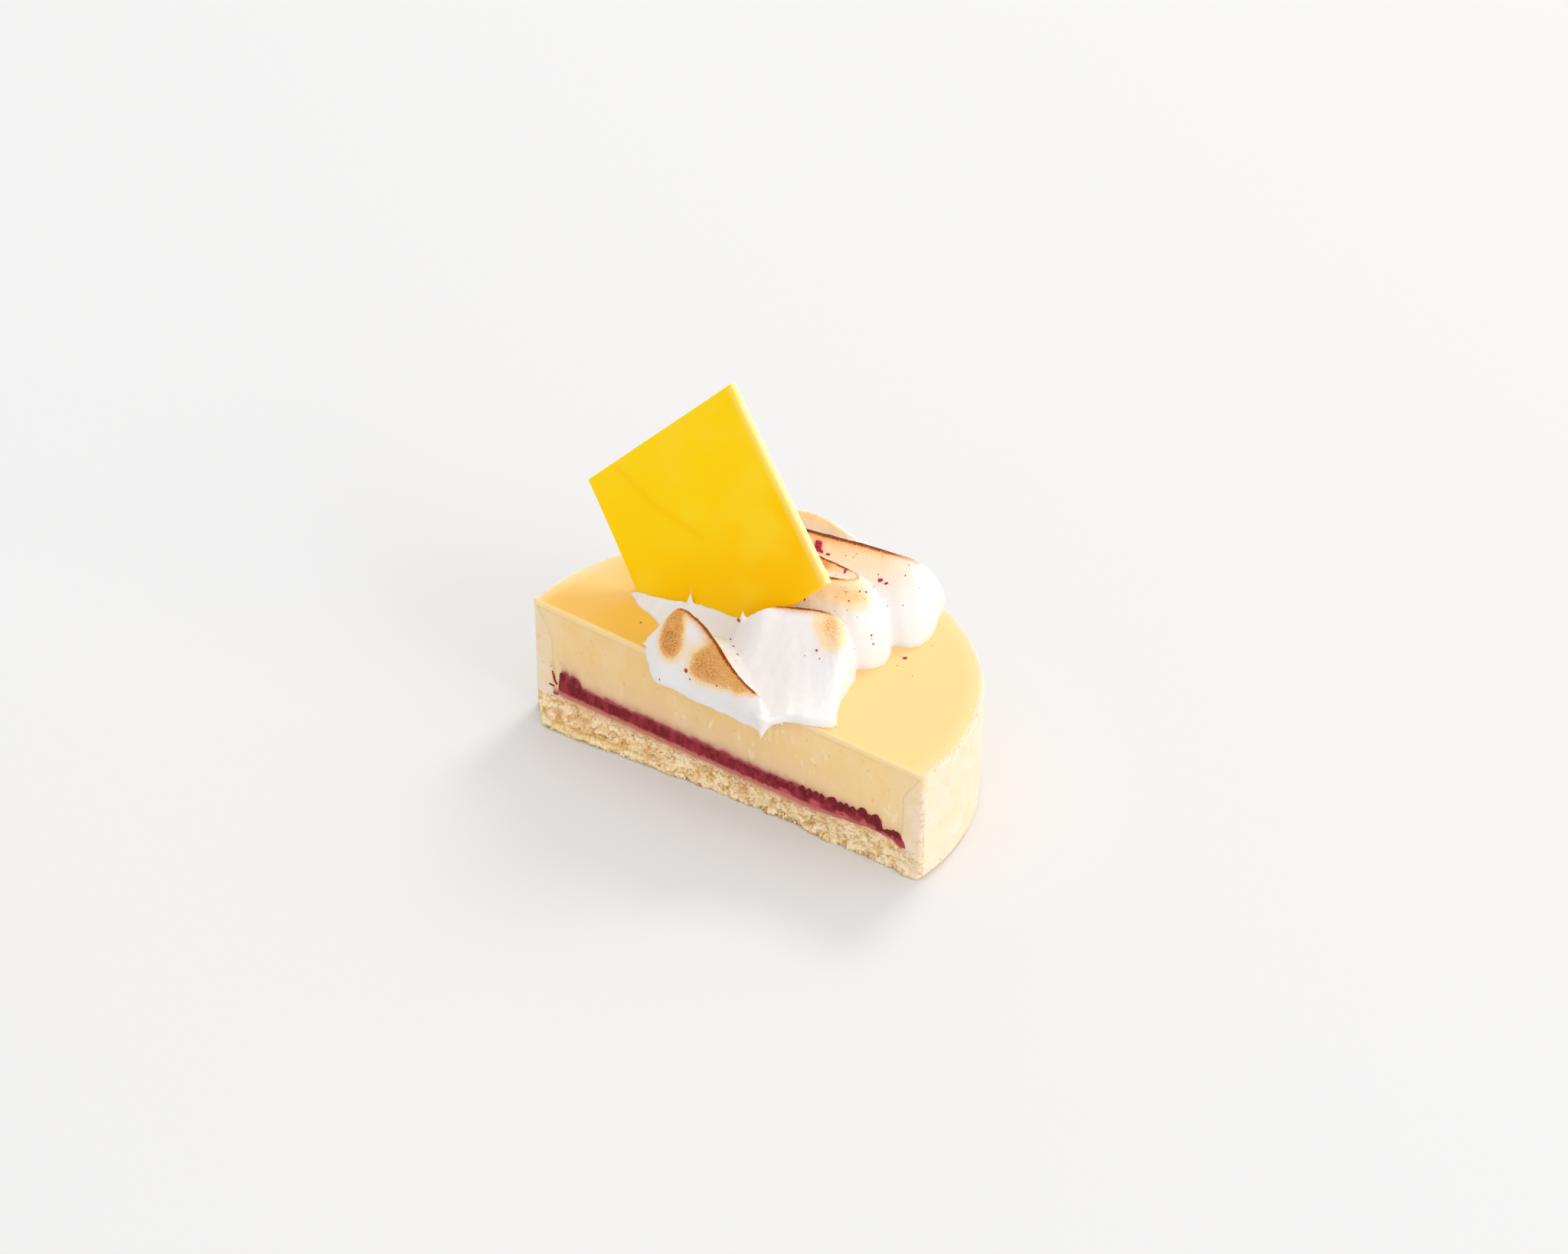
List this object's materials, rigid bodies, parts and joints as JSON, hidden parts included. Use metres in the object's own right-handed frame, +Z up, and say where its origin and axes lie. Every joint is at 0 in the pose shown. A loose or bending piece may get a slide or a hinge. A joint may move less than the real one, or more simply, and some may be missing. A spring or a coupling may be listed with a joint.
{
  "type": "raspberry and lemon tart half",
  "caption": "Half of a round lemon and raspberry tart in a pastry shell, cut open, topped with torched piped meringue and a square of yellow chocolate standing on one corner.",
  "frame": {"origin": "centre of the tart's ring on its underside, where the rest face lies", "axes": "+X along the cut towards the right end seen from the cut side, +Y away from the cut towards the round side, +Z up"},
  "size_m": [0.0967, 0.0578, 0.0727],
  "materials": {
    "pastry": "matte",
    "raspberry": "satin",
    "custard": "satin",
    "glaze": "gloss",
    "meringue": "satin",
    "chocolate": "satin"
  },
  "bodies": {
    "root": {"pastry_shell": "pastry", "raspberry_layer": "raspberry", "lemon_custard": "custard", "lemon_glaze": "glaze", "meringue": "meringue", "chocolate_square": "chocolate"}
  },
  "joints": []
}
